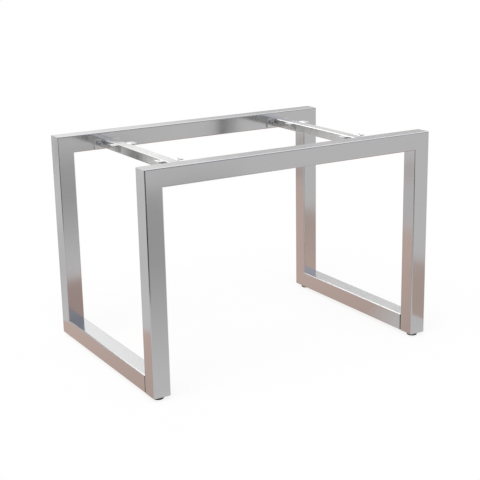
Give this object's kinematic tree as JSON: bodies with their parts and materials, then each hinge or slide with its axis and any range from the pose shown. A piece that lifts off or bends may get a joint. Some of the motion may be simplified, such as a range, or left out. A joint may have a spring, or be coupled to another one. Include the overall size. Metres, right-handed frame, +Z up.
{
  "type": "table frame",
  "caption": "Free-standing table frame of mitred square steel tube: front and rear inverted-U frames, foot rails at the sides and bolted crossbars with brackets for a top.",
  "frame": {"origin": "on the floor, at the middle of the frame's outline", "axes": "+X to the right along the top rails, +Y from the front frame to the rear one, +Z up"},
  "size_m": [1.08, 0.73, 0.737],
  "materials": {
    "frame_steel": "satin ground steel",
    "crossbar_steel": "satin steel",
    "bracket_steel": "bright zinc-plated steel",
    "fastener_steel": "bright zinc-plated steel",
    "glide_plastic": "moulded matt"
  },
  "bodies": {
    "root": {"front_top_rail": "frame_steel", "rear_top_rail": "frame_steel", "front_left_leg": "frame_steel", "rear_left_leg": "frame_steel", "left_foot_rail": "frame_steel", "front_left_leg_base_plate": "frame_steel", "left_foot_tongue": "bracket_steel", "left_crossbar": "crossbar_steel", "left_crossbar_front_plate": "crossbar_steel", "front_left_glide": "glide_plastic", "left_bar_front_left_bracket": "bracket_steel", "left_bar_front_right_bracket": "bracket_steel", "left_crossbar_rear_plate": "crossbar_steel", "rear_left_glide": "glide_plastic", "left_bar_rear_left_bracket": "bracket_steel", "left_bar_rear_right_bracket": "bracket_steel", "front_right_leg": "frame_steel", "rear_right_leg": "frame_steel", "right_foot_rail": "frame_steel", "front_right_leg_base_plate": "frame_steel", "right_foot_tongue": "bracket_steel", "right_crossbar": "crossbar_steel", "right_crossbar_front_plate": "crossbar_steel", "front_right_glide": "glide_plastic", "right_bar_front_left_bracket": "bracket_steel", "right_bar_front_right_bracket": "bracket_steel", "right_crossbar_rear_plate": "crossbar_steel", "rear_right_glide": "glide_plastic", "right_bar_rear_left_bracket": "bracket_steel", "right_bar_rear_right_bracket": "bracket_steel", "tongue_screws": "fastener_steel", "end_plate_screws": "fastener_steel", "end_plate_washers": "fastener_steel", "rail_rivet_nuts": "fastener_steel", "bracket_bolts": "fastener_steel", "bracket_washers": "fastener_steel", "bracket_nuts": "fastener_steel", "glide_screws": "fastener_steel"}
  },
  "joints": []
}
